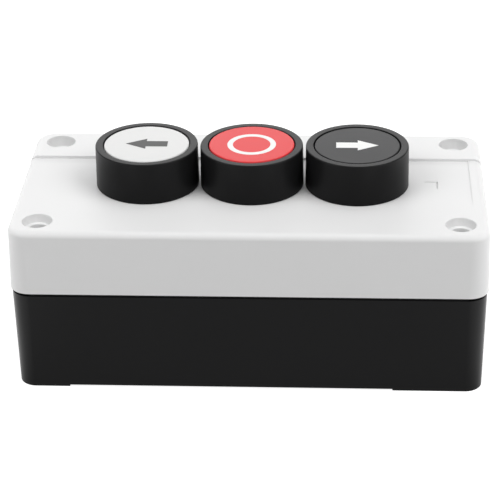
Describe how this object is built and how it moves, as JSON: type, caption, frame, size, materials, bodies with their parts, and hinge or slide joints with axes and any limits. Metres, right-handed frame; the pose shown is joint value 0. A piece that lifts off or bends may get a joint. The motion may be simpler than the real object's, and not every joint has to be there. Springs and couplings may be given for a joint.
{
  "type": "pushbutton control station",
  "caption": "Surface-mounted control station: a two-part moulded box with arrow buttons and a red stop button, each working a spring-return contact block inside.",
  "frame": {"origin": "centre of the bounding box's underside: the plane of the feet, under the middle of the box", "axes": "+X along the long side towards the right-arrow button, +Y to the side with the raised strip, +Z from the feet up towards the buttons"},
  "size_m": [0.136, 0.068, 0.0627],
  "materials": {
    "base_plastic": "fine satin moulded, near black",
    "cover_plastic": "fine satin moulded, cool white",
    "bezel_plastic": "satin black, rounded rim",
    "white_cap": "semi-gloss white with a dark grey arrow",
    "red_cap": "semi-gloss red with a white ring",
    "black_cap": "semi-gloss black with a white arrow",
    "seal_rubber": "soft seal rubber",
    "stem_plastic": "dark grey moulded",
    "nut_plastic": "dark grey moulded",
    "block_plastic": "grey moulded",
    "green_plastic": "green moulded",
    "red_plastic": "red moulded",
    "spring_steel": "drawn wire",
    "screw_steel": "zinc-plated",
    "insert_brass": "turned",
    "contact_brass": "stamped strip with contact tips"
  },
  "bodies": {
    "enclosure": {"base_box": "base_plastic", "cover": "cover_plastic", "cover_seal": "seal_rubber", "threaded_inserts": "insert_brass", "cover_screws": "screw_steel", "left_head_body": "bezel_plastic", "left_return_spring": "spring_steel", "left_head_gasket": "seal_rubber", "left_ring_nut": "nut_plastic", "left_block_housing": "block_plastic", "left_block_side_plate": "block_plastic", "left_block_spring": "spring_steel", "left_front_contact": "contact_brass", "left_rear_contact": "contact_brass", "left_terminal_screws": "screw_steel", "left_clamp_plates": "screw_steel", "stop_head_body": "bezel_plastic", "stop_return_spring": "spring_steel", "stop_head_gasket": "seal_rubber", "stop_ring_nut": "nut_plastic", "stop_block_housing": "block_plastic", "stop_block_side_plate": "block_plastic", "stop_block_spring": "spring_steel", "stop_front_contact": "contact_brass", "stop_rear_contact": "contact_brass", "stop_terminal_screws": "screw_steel", "stop_clamp_plates": "screw_steel", "right_head_body": "bezel_plastic", "right_return_spring": "spring_steel", "right_head_gasket": "seal_rubber", "right_ring_nut": "nut_plastic", "right_block_housing": "block_plastic", "right_block_side_plate": "block_plastic", "right_block_spring": "spring_steel", "right_front_contact": "contact_brass", "right_rear_contact": "contact_brass", "right_terminal_screws": "screw_steel", "right_clamp_plates": "screw_steel"},
    "left_button": {"left_cap": "white_cap", "left_stem": "stem_plastic"},
    "left_contact": {"left_block_plunger": "green_plastic", "left_contact_bridge": "contact_brass", "left_contact_spring": "spring_steel"},
    "stop_button": {"stop_cap": "red_cap", "stop_stem": "stem_plastic"},
    "stop_contact": {"stop_block_plunger": "red_plastic", "stop_contact_bridge": "contact_brass", "stop_contact_spring": "spring_steel"},
    "right_button": {"right_cap": "black_cap", "right_stem": "stem_plastic"},
    "right_contact": {"right_block_plunger": "green_plastic", "right_contact_bridge": "contact_brass", "right_contact_spring": "spring_steel"}
  },
  "joints": [
    {"name": "left_press", "type": "slide", "parent": "enclosure", "child": "left_button", "axis": [0, 0, -1], "range_m": [0, 0.0043], "stiffness_N_per_m": 600, "springref_m": -0.004, "deforming": ["left_return_spring"]},
    {"name": "left_contact_slide", "type": "slide", "parent": "enclosure", "child": "left_contact", "axis": [0, 0, -1], "range_m": [0, 0.0043], "stiffness_N_per_m": 200, "springref_m": -0.003, "deforming": ["left_block_spring"]},
    {"name": "stop_press", "type": "slide", "parent": "enclosure", "child": "stop_button", "axis": [0, 0, -1], "range_m": [0, 0.0043], "stiffness_N_per_m": 600, "springref_m": -0.004, "deforming": ["stop_return_spring"]},
    {"name": "stop_contact_slide", "type": "slide", "parent": "enclosure", "child": "stop_contact", "axis": [0, 0, -1], "range_m": [0, 0.0043], "stiffness_N_per_m": 200, "springref_m": -0.003, "deforming": ["stop_block_spring"]},
    {"name": "right_press", "type": "slide", "parent": "enclosure", "child": "right_button", "axis": [0, 0, -1], "range_m": [0, 0.0043], "stiffness_N_per_m": 600, "springref_m": -0.004, "deforming": ["right_return_spring"]},
    {"name": "right_contact_slide", "type": "slide", "parent": "enclosure", "child": "right_contact", "axis": [0, 0, -1], "range_m": [0, 0.0043], "stiffness_N_per_m": 200, "springref_m": -0.003, "deforming": ["right_block_spring"]}
  ],
  "couplings": [
    {"joint": "left_contact_slide", "follows": "left_press", "ratio": 1},
    {"joint": "stop_contact_slide", "follows": "stop_press", "ratio": 1},
    {"joint": "right_contact_slide", "follows": "right_press", "ratio": 1}
  ]
}
